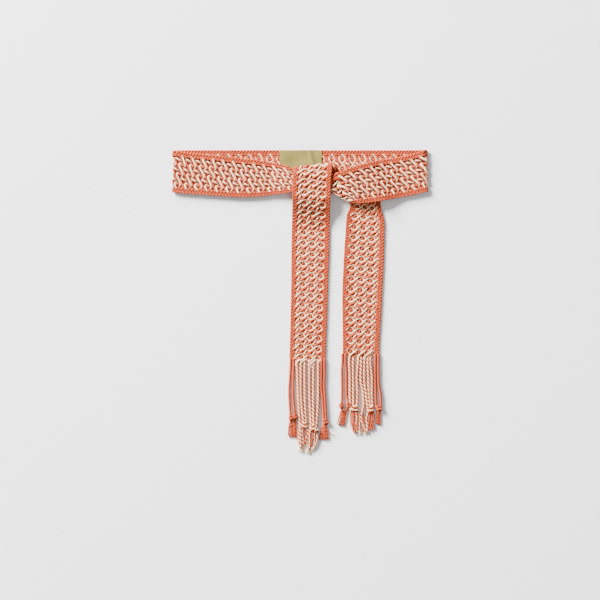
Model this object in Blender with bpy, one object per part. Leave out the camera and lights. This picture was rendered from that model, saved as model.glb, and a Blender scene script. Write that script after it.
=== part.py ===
"""A woven tie belt, laid flat in a loose half knot. Metres, Z up, seen from above.

One openwork band with a plaited border along each edge runs from the left
tail's end up over the knot, round the flattened waist loop and back through
the knot to the right tail's end. A satin label is sewn on the back strap, and
each tail ends in striped ropes between two pairs of plain cords.

The cloth is a row of rulings, straight lines from edge A to edge B. A is the
left edge of both tails and the upper edge of every strap. At a fold the
rulings roll round the fold line on to the next layer.
"""

import math
from collections import namedtuple

import bmesh
import bpy
import numpy as np

# The band
BAND_WIDTH = 0.060
BAND_THICKNESS = 0.0026
BORDER_WIDTH = 0.0082
CLEARANCE = 0.0003
LAYER_GAP = 0.00035
STATION_STEP = 0.014
ROLL_STEPS = 6

# The layout, from above
LEFT_REACH = 0.2306
RIGHT_REACH = 0.1406
LEFT_TAIL = 0.190
RIGHT_TAIL = 0.172
LEFT_FRINGE = 0.1334
RIGHT_FRINGE = 0.1124

# The label
LABEL_WIDTH = 0.0612
LABEL_HEIGHT = 0.0310
LABEL_THICKNESS = 0.001
LABEL_INSET = 0.0005
LABEL_FROM_KNOT = 0.0439

# The fringes
HEAD_LENGTH = 0.003
ROPE_WIDTH = 0.0044
ROPE_HEIGHT = 0.0032
CORD_WIDTH = 0.0031
CORD_HEIGHT = 0.0026
KNOT_LENGTH = 0.005

PITCH = BAND_THICKNESS + LAYER_GAP
LABEL_STEP = LABEL_THICKNESS + CLEARANCE

# Rulings near the knot. a and b are the two ends, in band widths from the
# knot's centre; a_layers and b_layers count the layers of cloth below each
# end, and label is 1 where the label lies below too.
KnotRow = namedtuple("KnotRow", "ax ay bx by a_layers b_layers label")
# Rulings of a strap away from the knot: along runs from the side fold to the
# knot's rows, and top and bottom are in band widths from the strap's middle.
StrapRow = namedtuple("StrapRow", "along top bottom")
# Rulings of a tail away from the knot: down runs from the knot's rows to the
# tail's end, and left and right are in band widths from the knot's centre.
TailRow = namedtuple("TailRow", "down left right")
# A fold line, its two ends like a KnotRow's, the layers before and after, and
# slant, how far the cloth slides along the line for each step towards it.
FoldRow = namedtuple("FoldRow", "ax ay bx by before after label slant")

LEFT_TAIL_ROWS = (
    TailRow(1.00, -1.008, -0.138),
    TailRow(0.92, -1.003, -0.130),
    TailRow(0.69, -0.986, -0.101),
    TailRow(0.38, -0.967, -0.072),
    TailRow(0.15, -0.962, -0.046),
)
LEFT_TAIL_KNOT = (
    KnotRow(-0.955, -1.421, -0.036, -1.421, 0.0, 0.0, 0.0),
    KnotRow(-0.947, -1.083, -0.029, -1.083, 1.0, 1.2, 0.25),
    KnotRow(-0.943, -0.841, -0.022, -0.841, 2.65, 2.9, 0.7),
    KnotRow(-0.938, -0.624, -0.017, -0.624, 3.85, 3.95, 1.0),
    KnotRow(-0.933, -0.382, -0.010, -0.382, 4.0, 4.0, 1.0),
    KnotRow(-0.923, -0.116, 0.010, -0.092, 4.0, 4.0, 1.0),
)
TOP_FOLD = FoldRow(-0.911, 0.111, 0.024, 0.208, 3.0, 1.0, 1.0, 0.1)
BEHIND_ROWS = (
    KnotRow(-0.677, -0.031, 0.121, -0.019, 1.0, 1.0, 1.0),
    KnotRow(-0.435, -0.116, 0.217, -0.285, 1.0, 1.0, 1.0),
    KnotRow(-0.302, -0.213, 0.326, -0.527, 1.0, 1.0, 1.0),
)
LOW_FOLD = FoldRow(-0.217, -0.411, 0.466, -0.793, 1.0, 3.0, 1.0, 1.1)
RIGHT_KNOT = (
    KnotRow(0.000, -0.104, 0.628, -0.790, 3.0, 3.0, 1.0),
    KnotRow(0.234, -0.010, 0.713, -0.788, 3.0, 3.0, 1.0),
    KnotRow(0.628, 0.130, 0.894, -0.769, 3.0, 3.0, 0.1),
    KnotRow(0.967, 0.222, 1.124, -0.742, 2.3, 3.1, 0.0),
    KnotRow(1.136, 0.261, 1.232, -0.720, 1.6, 2.95, 0.0),
    KnotRow(1.377, 0.297, 1.462, -0.679, 1.0, 1.9, 0.0),
    KnotRow(1.738, 0.360, 1.740, -0.624, 1.0, 1.0, 0.0),
)
RIGHT_STRAP = (StrapRow(0.50, 0.435, -0.566),)
RIGHT_FOLD = StrapRow(0.0, 0.522, -0.500)
BACK_STRAP = (
    StrapRow(0.03, 0.512, -0.512),
    StrapRow(0.35, 0.510, -0.512),
    StrapRow(0.65, 0.512, -0.510),
    StrapRow(0.97, 0.510, -0.514),
)
LEFT_FOLD = StrapRow(0.0, 0.500, -0.517)
LEFT_STRAP = (
    StrapRow(0.18, 0.445, -0.553),
    StrapRow(0.37, 0.401, -0.587),
    StrapRow(0.50, 0.367, -0.607),
    StrapRow(0.70, 0.312, -0.633),
    StrapRow(0.86, 0.271, -0.624),
)
LEFT_KNOT = (
    KnotRow(-1.474, 0.215, -1.474, -0.587, 1.0, 1.0, 0.0),
    KnotRow(-1.305, 0.184, -1.305, -0.563, 1.0, 1.0, 1.0),
    KnotRow(-1.136, 0.145, -1.136, -0.541, 1.55, 1.3, 1.0),
    KnotRow(-1.015, 0.111, -1.015, -0.522, 2.0, 1.7, 1.0),
    KnotRow(-0.918, 0.039, -0.930, -0.507, 2.0, 1.9, 1.0),
    KnotRow(-0.628, 0.034, -0.628, -0.454, 2.0, 2.0, 1.0),
    KnotRow(-0.314, 0.031, -0.338, -0.324, 2.0, 2.0, 1.0),
    KnotRow(0.000, -0.019, -0.121, -0.329, 2.0, 2.0, 1.0),
    KnotRow(0.290, -0.068, 0.217, -0.527, 2.0, 2.0, 1.0),
    KnotRow(0.411, -0.072, 0.604, -0.636, 2.0, 2.0, 0.5),
)
TURN_FOLD = FoldRow(0.556, -0.044, 1.184, -0.684, 2.0, 1.0, 0.0, 1.2)
RIGHT_TAIL_KNOT = (
    KnotRow(0.512, -0.309, 1.199, -0.822, 1.0, 0.85, 0.0),
    KnotRow(0.498, -0.534, 1.208, -0.889, 1.0, 0.6, 0.0),
    KnotRow(0.483, -0.696, 1.223, -0.962, 0.5, 0.3, 0.0),
    KnotRow(0.459, -0.853, 1.247, -1.034, 0.2, 0.1, 0.0),
    KnotRow(0.382, -1.059, 1.278, -1.155, 0.0, 0.0, 0.0),
    KnotRow(0.353, -1.300, 1.293, -1.336, 0.0, 0.0, 0.0),
    KnotRow(0.334, -1.614, 1.288, -1.614, 0.0, 0.0, 0.0),
)
RIGHT_TAIL_ROWS = (
    TailRow(0.10, 0.314, 1.281),
    TailRow(0.52, 0.266, 1.228),
    TailRow(0.94, 0.278, 1.160),
    TailRow(1.00, 0.275, 1.155),
)

# Fringe strands. The x columns are in band widths from the middle of the
# tail's end, and the at columns are shares of the fringe's length.
Strand = namedtuple("Strand", "root_x mid_x mid_at knot_x knot_at tip_x tip_at")
LEFT_ROPES = (
    Strand(-0.254, -0.220, 0.31, -0.123, 0.68, -0.155, 0.97),
    Strand(-0.147, -0.152, 0.31, -0.065, 0.71, -0.104, 0.93),
    Strand(-0.060, -0.056, 0.31, -0.017, 0.72, -0.056, 0.89),
    Strand(0.056, 0.058, 0.31, 0.075, 0.73, 0.031, 1.00),
    Strand(0.157, 0.147, 0.31, 0.138, 0.74, 0.109, 0.95),
    Strand(0.268, 0.271, 0.31, 0.215, 0.75, 0.191, 0.93),
)
LEFT_OUTER = (
    Strand(-0.404, -0.437, 0.34, -0.396, 0.62, -0.404, 0.84),
    Strand(-0.345, -0.343, 0.34, -0.283, 0.60, -0.307, 0.83),
)
LEFT_INNER = (
    Strand(0.355, 0.346, 0.34, 0.384, 0.66, 0.346, 0.86),
    Strand(0.408, 0.418, 0.34, 0.449, 0.65, 0.471, 0.86),
)
RIGHT_ROPES = (
    Strand(-0.247, -0.251, 0.30, -0.237, 0.68, -0.184, 0.92),
    Strand(-0.169, -0.189, 0.30, -0.169, 0.69, -0.145, 1.00),
    Strand(-0.082, -0.121, 0.30, -0.106, 0.69, -0.029, 0.98),
    Strand(-0.005, -0.048, 0.30, -0.048, 0.70, 0.048, 0.97),
    Strand(0.082, 0.072, 0.33, 0.072, 0.71, 0.121, 0.99),
    Strand(0.155, 0.140, 0.33, 0.155, 0.70, 0.174, 0.98),
    Strand(0.227, 0.208, 0.33, 0.222, 0.69, 0.242, 0.96),
    Strand(0.275, 0.273, 0.33, 0.290, 0.68, 0.297, 0.87),
)
RIGHT_OUTER = (
    Strand(-0.411, -0.450, 0.33, -0.469, 0.63, -0.512, 0.87),
    Strand(-0.348, -0.343, 0.33, -0.338, 0.62, -0.416, 0.88),
)
RIGHT_INNER = (
    Strand(0.372, 0.362, 0.33, 0.401, 0.67, 0.406, 0.88),
    Strand(0.425, 0.449, 0.33, 0.469, 0.66, 0.452, 0.87),
)
# How a strand swells: width and height are shares of its own.
Swell = namedtuple("Swell", "place width height")
BEFORE_KNOT = (Swell(0.0, 0.95, 0.8), Swell(0.3, 1.0, 1.0), Swell(0.6, 1.0, 1.0), Swell(1.0, 0.95, 1.0))
AFTER_KNOT = (Swell(0.0, 0.75, 0.9), Swell(0.45, 1.1, 1.0), Swell(0.85, 1.3, 0.9), Swell(1.0, 1.15, 0.6))
KNOT_SWELL = Swell(0.5, 1.25, 1.2)


def clear_scene():
    """Remove whatever the scene holds."""
    for obj in list(bpy.data.objects):
        bpy.data.objects.remove(obj)


def height(layers, label=0.0):
    """Height of the cloth's middle over so many layers, and over the label."""
    return BAND_THICKNESS / 2 + layers * PITCH + label * LABEL_STEP


def knot_ruling(row):
    """The two ends of a ruling near the knot."""
    a = (row.ax * BAND_WIDTH, row.ay * BAND_WIDTH, height(row.a_layers, row.label))
    b = (row.bx * BAND_WIDTH, row.by * BAND_WIDTH, height(row.b_layers, row.label))
    return np.array([a, b])


def strap_ruling(row, side_x, knot_x, layers):
    """The two ends of a ruling on a strap, side_x being its fold."""
    x = side_x + row.along * (knot_x - side_x)
    z = height(layers)
    return np.array([(x, row.top * BAND_WIDTH, z), (x, row.bottom * BAND_WIDTH, z)])


def tail_ruling(row, start_y, length):
    """The two ends of a ruling on a tail that lies on the floor."""
    y = start_y - row.down * length
    z = height(0.0)
    return np.array([(row.left * BAND_WIDTH, y, z), (row.right * BAND_WIDTH, y, z)])


def pchip(places, values, wanted):
    """Smooth values through the given ones, with no overshoot between them."""
    step = np.diff(places)[:, None]
    slope = np.diff(values, axis=0) / step
    tangent = np.zeros_like(values)
    tangent[0], tangent[-1] = slope[0], slope[-1]
    before, after = slope[:-1], slope[1:]
    same = before * after > 0
    first, second = 2 * step[1:] + step[:-1], step[1:] + 2 * step[:-1]
    safe_before = np.where(same, before, 1.0)
    safe_after = np.where(same, after, 1.0)
    mean = (first + second) / (first / safe_before + second / safe_after)
    tangent[1:-1] = np.where(same, mean, 0.0)
    index = np.clip(np.searchsorted(places, wanted, side="right") - 1, 0, len(places) - 2)
    width = step[index]
    t = ((wanted - places[index])[:, None]) / width
    return (
        (1 + 2 * t) * (1 - t) ** 2 * values[index]
        + t * (1 - t) ** 2 * width * tangent[index]
        + t**2 * (3 - 2 * t) * values[index + 1]
        + t**2 * (t - 1) * width * tangent[index + 1]
    )


def smooth_stretch(rulings):
    """Rulings at an even step through the given ones."""
    given = np.array(rulings).reshape(len(rulings), 6)
    middle = (given[:, :3] + given[:, 3:]) / 2
    lengths = np.linalg.norm(np.diff(middle, axis=0), axis=1)
    places = np.concatenate([[0.0], np.cumsum(lengths)])
    wanted = [0.0]
    for start, length in zip(places, lengths):
        count = max(1, math.ceil(length / STATION_STEP))
        wanted.extend(start + length * (k + 1) / count for k in range(count))
    smoothed = pchip(places, given, np.array(wanted))
    return [row.reshape(2, 3) for row in smoothed]


def roll(a, b, before, after, slant, cloth_side):
    """Rulings that carry the cloth round the fold line a-b to another height.

    cloth_side is a point on the cloth before the fold. The outermost point
    of the roll's outer face lies on the fold line.
    """
    a, b = np.array(a), np.array(b)
    along = (b - a) / np.linalg.norm(b - a)
    outward = np.array([along[1], -along[0]])
    if np.dot(cloth_side[:2] - a, outward) > 0:
        outward = -outward
    radius = abs(after - before) / 2
    rulings = []
    for k in range(ROLL_STEPS + 1):
        turn = math.pi * k / ROLL_STEPS
        shift = outward * (radius * math.sin(turn) - radius - BAND_THICKNESS / 2)
        shift = shift - along * slant * (radius + BAND_THICKNESS / 2) * math.cos(turn)
        z = before + (after - before) * (1 - math.cos(turn)) / 2
        rulings.append(np.array([(*(a + shift), z), (*(b + shift), z)]))
    return rulings


def knot_roll(row, cloth_side):
    """The roll at one of the knot's folds."""
    a = (row.ax * BAND_WIDTH, row.ay * BAND_WIDTH)
    b = (row.bx * BAND_WIDTH, row.by * BAND_WIDTH)
    before, after = height(row.before, row.label), height(row.after, row.label)
    return roll(a, b, before, after, row.slant, cloth_side)


def side_roll(row, x, before, after):
    """The roll at one of the loop's two ends."""
    a, b = (x, row.top * BAND_WIDTH), (x, row.bottom * BAND_WIDTH)
    return roll(a, b, height(before), height(after), 0.0, np.array([0.0, 0.0]))


def band_rulings():
    """All rulings of the band, from the left tail's end to the right tail's."""
    left_start = LEFT_TAIL_KNOT[0].ay * BAND_WIDTH
    right_start = RIGHT_TAIL_KNOT[-1].ay * BAND_WIDTH
    right_knot_x = RIGHT_KNOT[-1].ax * BAND_WIDTH
    left_knot_x = LEFT_KNOT[0].ax * BAND_WIDTH

    left_tail = [tail_ruling(row, left_start, LEFT_TAIL) for row in LEFT_TAIL_ROWS]
    left_tail += [knot_ruling(row) for row in LEFT_TAIL_KNOT]
    top = knot_roll(TOP_FOLD, left_tail[-1][0])
    behind = [knot_ruling(row) for row in BEHIND_ROWS]
    low = knot_roll(LOW_FOLD, behind[-1][1])
    right = [knot_ruling(row) for row in RIGHT_KNOT]
    right += [strap_ruling(row, RIGHT_REACH, right_knot_x, 1.0) for row in RIGHT_STRAP]
    right_side = side_roll(RIGHT_FOLD, RIGHT_REACH, 1.0, 0.0)
    back = [strap_ruling(row, RIGHT_REACH, -LEFT_REACH, 0.0) for row in BACK_STRAP]
    left_side = side_roll(LEFT_FOLD, -LEFT_REACH, 0.0, 1.0)
    left = [strap_ruling(row, -LEFT_REACH, left_knot_x, 1.0) for row in LEFT_STRAP]
    left += [knot_ruling(row) for row in LEFT_KNOT]
    turn = knot_roll(TURN_FOLD, left[-1][0])
    right_tail = [knot_ruling(row) for row in RIGHT_TAIL_KNOT]
    right_tail += [tail_ruling(row, right_start, RIGHT_TAIL) for row in RIGHT_TAIL_ROWS]

    rolls = [top, low, right_side, left_side, turn]
    stretches = [left_tail, behind, right, back, left, right_tail]
    rulings = []
    for index, stretch in enumerate(stretches):
        before = [rolls[index - 1][-1]] if index else []
        after = [rolls[index][0]] if index < len(rolls) else []
        rulings += smooth_stretch(before + stretch + after)
        if index < len(rolls):
            rulings += rolls[index][1:-1]
    return np.array(rulings)


def face_normals(rulings):
    """Unit normals of the cloth's outer face, one at each ruling."""
    middle = rulings.mean(axis=1)
    tangent = np.gradient(middle, axis=0)
    across = rulings[:, 1] - rulings[:, 0]
    normal = np.cross(across, tangent)
    return normal / np.linalg.norm(normal, axis=1)[:, None]


def strip_sections(rulings, profile):
    """Cross-sections of a strip of the band.

    profile(width) gives the section's corners for a band of that width, as
    places across it in metres and heights from the cloth's middle.
    """
    sections = []
    for ruling, normal in zip(rulings, face_normals(rulings)):
        a, b = ruling
        width = np.linalg.norm(b - a)
        across = (b - a) / width
        sections.append([a + across * place + normal * rise for place, rise in profile(width)])
    return sections


def centre_profile(width):
    """A plain rectangle between the two borders."""
    inset = BORDER_WIDTH / BAND_WIDTH * width + CLEARANCE / 2
    half = BAND_THICKNESS / 2
    return [(inset, -half), (width - inset, -half), (width - inset, half), (inset, half)]


def border_profile(width, upper):
    """A plait's section: flat faces and a chamfered outer edge."""
    inner = BORDER_WIDTH / BAND_WIDTH * width - CLEARANCE / 2
    half = BAND_THICKNESS / 2
    chamfer = inner * 0.15
    corners = [(inner, -half), (inner, half), (chamfer, half), (0.0, 0.4 * half), (0.0, -0.4 * half), (chamfer, -half)]
    if upper:
        return corners
    return [(width - place, rise) for place, rise in reversed(corners)]


def loft(name, sections):
    """A closed mesh through cross-sections of the same number of corners."""
    bm = bmesh.new()
    rings = [[bm.verts.new(point) for point in section] for section in sections]
    count = len(rings[0])
    for first, second in zip(rings, rings[1:]):
        for k in range(count):
            bm.faces.new((first[k], first[(k + 1) % count], second[(k + 1) % count], second[k]))
    bm.faces.new(list(reversed(rings[0])))
    bm.faces.new(rings[-1])
    bmesh.ops.recalc_face_normals(bm, faces=bm.faces[:])
    mesh = bpy.data.meshes.new(name)
    bm.to_mesh(mesh)
    bm.free()
    return mesh


def material(name, colour, roughness):
    """A cloth finish."""
    finish = bpy.data.materials.new(name)
    finish.use_nodes = True
    shader = finish.node_tree.nodes["Principled BSDF"]
    shader.inputs["Base Color"].default_value = (*colour, 1.0)
    shader.inputs["Roughness"].default_value = roughness
    shader.inputs["Metallic"].default_value = 0.0
    return finish


def add_object(mesh, name, finish, parent):
    """An object of the belt, in the belt's own frame."""
    obj = bpy.data.objects.new(name, mesh)
    mesh.materials.append(finish)
    obj.parent = parent
    bpy.context.scene.collection.objects.link(obj)
    return obj


def label_mesh():
    """The label, a thin slab with softened edges on the back strap."""
    bm = bmesh.new()
    bmesh.ops.create_cube(bm, size=1.0)
    bmesh.ops.scale(bm, vec=(LABEL_WIDTH, LABEL_HEIGHT, LABEL_THICKNESS), verts=bm.verts[:])
    top = BACK_STRAP[1].top * BAND_WIDTH - LABEL_INSET
    z = BAND_THICKNESS + CLEARANCE + LABEL_THICKNESS / 2
    centre = (-LABEL_FROM_KNOT, top - LABEL_HEIGHT / 2, z)
    bmesh.ops.translate(bm, vec=centre, verts=bm.verts[:])
    upright = [e for e in bm.edges if abs(e.verts[0].co.z - e.verts[1].co.z) > LABEL_THICKNESS / 2]
    bmesh.ops.bevel(
        bm, geom=upright, offset=LABEL_THICKNESS / 2, segments=2, profile=0.5, affect="EDGES", material=-1
    )
    mesh = bpy.data.meshes.new("sewn_label")
    bm.to_mesh(mesh)
    bm.free()
    return mesh


def strand_sections(strand, end, length, size):
    """Cross-sections of one fringe strand, from its root to its tip.

    end is the middle of the tail's end, and size the strand's width and
    height.
    """
    root_y = end[1] - CLEARANCE - HEAD_LENGTH / 2
    knot_y = end[1] - strand.knot_at * length
    tip_y = end[1] - strand.tip_at * length
    path_y = np.array([root_y, end[1] - strand.mid_at * length, knot_y, tip_y])
    path_x = end[0] + BAND_WIDTH * np.array([strand.root_x, strand.mid_x, strand.knot_x, strand.tip_x])
    stations = []
    upper, lower = knot_y + KNOT_LENGTH / 2, knot_y - KNOT_LENGTH / 2
    for swell in BEFORE_KNOT:
        stations.append((root_y + swell.place * (upper - root_y), swell))
    stations.append((knot_y, KNOT_SWELL))
    for swell in AFTER_KNOT:
        stations.append((lower + swell.place * (tip_y - lower), swell))
    sections = []
    for y, swell in stations:
        x = pchip(-path_y, path_x[:, None], np.array([-y]))[0, 0]
        half, top = size[0] * swell.width / 2, size[1] * swell.height
        corners = ((-1.0, 0.5), (-0.5, 1.0), (0.5, 1.0), (1.0, 0.5), (0.5, 0.0), (-0.5, 0.0))
        sections.append([(x + side * half, y, rise * top) for side, rise in corners])
    return sections


def fringe(name, strands, ruling, inner, outer, length, size, finish, parent):
    """Strands fused to a head along part of a tail's end.

    ruling is the tail's last, and inner and outer are where the head starts
    and ends between its two edges.
    """
    end = (ruling[0] + ruling[1]) / 2
    width = ruling[1][0] - ruling[0][0]
    x0, x1 = ruling[0][0] + inner * width, ruling[0][0] + outer * width
    bm = bmesh.new()
    bmesh.ops.create_cube(bm, size=1.0)
    bmesh.ops.scale(bm, vec=(x1 - x0, HEAD_LENGTH, BAND_THICKNESS * 0.9), verts=bm.verts[:])
    centre = ((x0 + x1) / 2, end[1] - CLEARANCE - HEAD_LENGTH / 2, BAND_THICKNESS / 2)
    bmesh.ops.translate(bm, vec=centre, verts=bm.verts[:])
    mesh = bpy.data.meshes.new(name)
    bm.to_mesh(mesh)
    bm.free()
    head = add_object(mesh, name, finish, parent)
    for number, strand in enumerate(strands, 1):
        sections = strand_sections(strand, end, length, size)
        helper_name = f"{name}_strand_{number}"
        helper = add_object(loft(helper_name, sections), helper_name, finish, parent)
        helper.hide_render = True
        helper.display_type = "WIRE"
        join = head.modifiers.new(helper_name, "BOOLEAN")
        join.operation = "UNION"
        join.object = helper
    return head


def main():
    clear_scene()
    belt = bpy.data.objects.new("belt", None)
    bpy.context.scene.collection.objects.link(belt)
    openwork = material("openwork_cloth", (0.80, 0.42, 0.30), 0.85)
    coral = material("coral_braid", (0.76, 0.19, 0.10), 0.85)
    striped = material("striped_cord", (0.79, 0.40, 0.28), 0.85)
    satin = material("label_satin", (0.50, 0.43, 0.19), 0.45)

    rulings = band_rulings()
    add_object(loft("band_centre", strip_sections(rulings, centre_profile)), "band_centre", openwork, belt)
    for name, upper in (("braid_upper", True), ("braid_lower", False)):
        sections = strip_sections(rulings, lambda width, upper=upper: border_profile(width, upper))
        add_object(loft(name, sections), name, coral, belt)
    add_object(label_mesh(), "sewn_label", satin, belt)

    border = BORDER_WIDTH / BAND_WIDTH
    gap = CLEARANCE / BAND_WIDTH
    rope, cord = (ROPE_WIDTH, ROPE_HEIGHT), (CORD_WIDTH, CORD_HEIGHT)
    tails = (
        ("left", rulings[0], LEFT_FRINGE, LEFT_ROPES, LEFT_OUTER, LEFT_INNER),
        ("right", rulings[-1], RIGHT_FRINGE, RIGHT_ROPES, RIGHT_OUTER, RIGHT_INNER),
    )
    for side, end, length, ropes, outer, inner in tails:
        start = f"fringe_{side}"
        fringe(f"{start}_ropes", ropes, end, border + gap, 1 - border - gap, length, rope, striped, belt)
        fringe(f"{start}_outer", outer, end, 0.0, border - gap, length, cord, coral, belt)
        fringe(f"{start}_inner", inner, end, 1 - border + gap, 1.0, length, cord, coral, belt)

    points = rulings.reshape(-1, 3)
    tips = [rulings[0][0][1] - LEFT_FRINGE, rulings[-1][0][1] - RIGHT_FRINGE]
    middle_y = (points[:, 1].max() + min(tips)) / 2
    belt.location = (-(RIGHT_REACH - LEFT_REACH) / 2, -middle_y, 0.0)


main()
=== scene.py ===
"""A hand-woven tie belt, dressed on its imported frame. Metres, Z up, seen from above.

The band is built from its own yarns. Pairs of cream strands and pairs of coral strands twine across
it, row after row, round long warps, over a ground of coral warps that closes the cloth, and a flat
plait of coral runs along each edge. All of that is first laid out on flat cloth, u along the band, v
across it and t out of its outer face, and then carried on to the folded band by the same
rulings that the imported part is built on. The label is a satin sheet, and each fringe is made of
striped ropes, plain cords, knots and cut ends.
"""

import logging
import math
from collections import namedtuple
from dataclasses import dataclass
from enum import Enum

import bmesh
import bpy
import numpy as np
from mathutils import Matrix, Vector

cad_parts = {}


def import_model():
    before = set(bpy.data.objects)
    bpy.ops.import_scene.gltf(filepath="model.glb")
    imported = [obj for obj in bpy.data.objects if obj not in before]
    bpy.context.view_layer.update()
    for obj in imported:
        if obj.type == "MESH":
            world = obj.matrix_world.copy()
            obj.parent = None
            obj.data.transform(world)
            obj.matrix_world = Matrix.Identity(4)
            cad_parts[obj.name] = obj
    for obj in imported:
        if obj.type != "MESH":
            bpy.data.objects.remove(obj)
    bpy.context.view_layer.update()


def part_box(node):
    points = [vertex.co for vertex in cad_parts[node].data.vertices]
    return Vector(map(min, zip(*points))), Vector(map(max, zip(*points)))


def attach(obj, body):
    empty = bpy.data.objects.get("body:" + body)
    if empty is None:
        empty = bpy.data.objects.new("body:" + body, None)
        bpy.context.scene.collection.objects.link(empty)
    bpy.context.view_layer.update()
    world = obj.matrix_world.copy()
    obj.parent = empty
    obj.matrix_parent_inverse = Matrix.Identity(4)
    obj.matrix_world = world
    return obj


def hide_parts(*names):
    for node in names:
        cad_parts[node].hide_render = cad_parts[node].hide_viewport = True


log = logging.getLogger("belt")

KnotRow = namedtuple("KnotRow", "ax ay bx by a_layers b_layers label")
StrapRow = namedtuple("StrapRow", "along top bottom")
TailRow = namedtuple("TailRow", "down left right")
FoldRow = namedtuple("FoldRow", "ax ay bx by before after label slant")


def rows_of(kind: type, *rows: tuple) -> tuple:
    """A table whose rows are all of one kind."""
    return tuple(kind(*row) for row in rows)


# The rows are in widths of the band, and in layers of cloth that lie below it.
LEFT_TAIL_ROWS = rows_of(
    TailRow,
    (1.00, -1.008, -0.138),
    (0.92, -1.003, -0.130),
    (0.69, -0.986, -0.101),
    (0.38, -0.967, -0.072),
    (0.15, -0.962, -0.046),
)
LEFT_TAIL_KNOT = rows_of(
    KnotRow,
    (-0.955, -1.421, -0.036, -1.421, 0.0, 0.0, 0.0),
    (-0.947, -1.083, -0.029, -1.083, 1.0, 1.2, 0.25),
    (-0.943, -0.841, -0.022, -0.841, 2.65, 2.9, 0.7),
    (-0.938, -0.624, -0.017, -0.624, 3.85, 3.95, 1.0),
    (-0.933, -0.382, -0.010, -0.382, 4.0, 4.0, 1.0),
    (-0.923, -0.116, 0.010, -0.092, 4.0, 4.0, 1.0),
)
TOP_FOLD = FoldRow(-0.911, 0.111, 0.024, 0.208, 3.0, 1.0, 1.0, 0.1)
BEHIND_ROWS = rows_of(
    KnotRow,
    (-0.677, -0.031, 0.121, -0.019, 1.0, 1.0, 1.0),
    (-0.435, -0.116, 0.217, -0.285, 1.0, 1.0, 1.0),
    (-0.302, -0.213, 0.326, -0.527, 1.0, 1.0, 1.0),
)
LOW_FOLD = FoldRow(-0.217, -0.411, 0.466, -0.793, 1.0, 3.0, 1.0, 1.1)
RIGHT_KNOT = rows_of(
    KnotRow,
    (0.000, -0.104, 0.628, -0.790, 3.0, 3.0, 1.0),
    (0.234, -0.010, 0.713, -0.788, 3.0, 3.0, 1.0),
    (0.628, 0.130, 0.894, -0.769, 3.0, 3.0, 0.1),
    (0.967, 0.222, 1.124, -0.742, 2.3, 3.1, 0.0),
    (1.136, 0.261, 1.232, -0.720, 1.6, 2.95, 0.0),
    (1.377, 0.297, 1.462, -0.679, 1.0, 1.9, 0.0),
    (1.738, 0.360, 1.740, -0.624, 1.0, 1.0, 0.0),
)
RIGHT_STRAP = (StrapRow(0.50, 0.435, -0.566),)
RIGHT_FOLD = StrapRow(0.0, 0.522, -0.500)
BACK_STRAP = rows_of(
    StrapRow,
    (0.03, 0.512, -0.512),
    (0.35, 0.510, -0.512),
    (0.65, 0.512, -0.510),
    (0.97, 0.510, -0.514),
)
LEFT_FOLD = StrapRow(0.0, 0.500, -0.517)
LEFT_STRAP = rows_of(
    StrapRow,
    (0.18, 0.445, -0.553),
    (0.37, 0.401, -0.587),
    (0.50, 0.367, -0.607),
    (0.70, 0.312, -0.633),
    (0.86, 0.271, -0.624),
)
LEFT_KNOT = rows_of(
    KnotRow,
    (-1.474, 0.215, -1.474, -0.587, 1.0, 1.0, 0.0),
    (-1.305, 0.184, -1.305, -0.563, 1.0, 1.0, 1.0),
    (-1.136, 0.145, -1.136, -0.541, 1.55, 1.3, 1.0),
    (-1.015, 0.111, -1.015, -0.522, 2.0, 1.7, 1.0),
    (-0.918, 0.039, -0.930, -0.507, 2.0, 1.9, 1.0),
    (-0.628, 0.034, -0.628, -0.454, 2.0, 2.0, 1.0),
    (-0.314, 0.031, -0.338, -0.324, 2.0, 2.0, 1.0),
    (0.000, -0.019, -0.121, -0.329, 2.0, 2.0, 1.0),
    (0.290, -0.068, 0.217, -0.527, 2.0, 2.0, 1.0),
    (0.411, -0.072, 0.604, -0.636, 2.0, 2.0, 0.5),
)
TURN_FOLD = FoldRow(0.556, -0.044, 1.184, -0.684, 2.0, 1.0, 0.0, 1.2)
RIGHT_TAIL_KNOT = rows_of(
    KnotRow,
    (0.512, -0.309, 1.199, -0.822, 1.0, 0.85, 0.0),
    (0.498, -0.534, 1.208, -0.889, 1.0, 0.6, 0.0),
    (0.483, -0.696, 1.223, -0.962, 0.5, 0.3, 0.0),
    (0.459, -0.853, 1.247, -1.034, 0.2, 0.1, 0.0),
    (0.382, -1.059, 1.278, -1.155, 0.0, 0.0, 0.0),
    (0.353, -1.300, 1.293, -1.336, 0.0, 0.0, 0.0),
    (0.334, -1.614, 1.288, -1.614, 0.0, 0.0, 0.0),
)
RIGHT_TAIL_ROWS = rows_of(
    TailRow,
    (0.10, 0.314, 1.281),
    (0.52, 0.266, 1.228),
    (0.94, 0.278, 1.160),
    (1.00, 0.275, 1.155),
)


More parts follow.
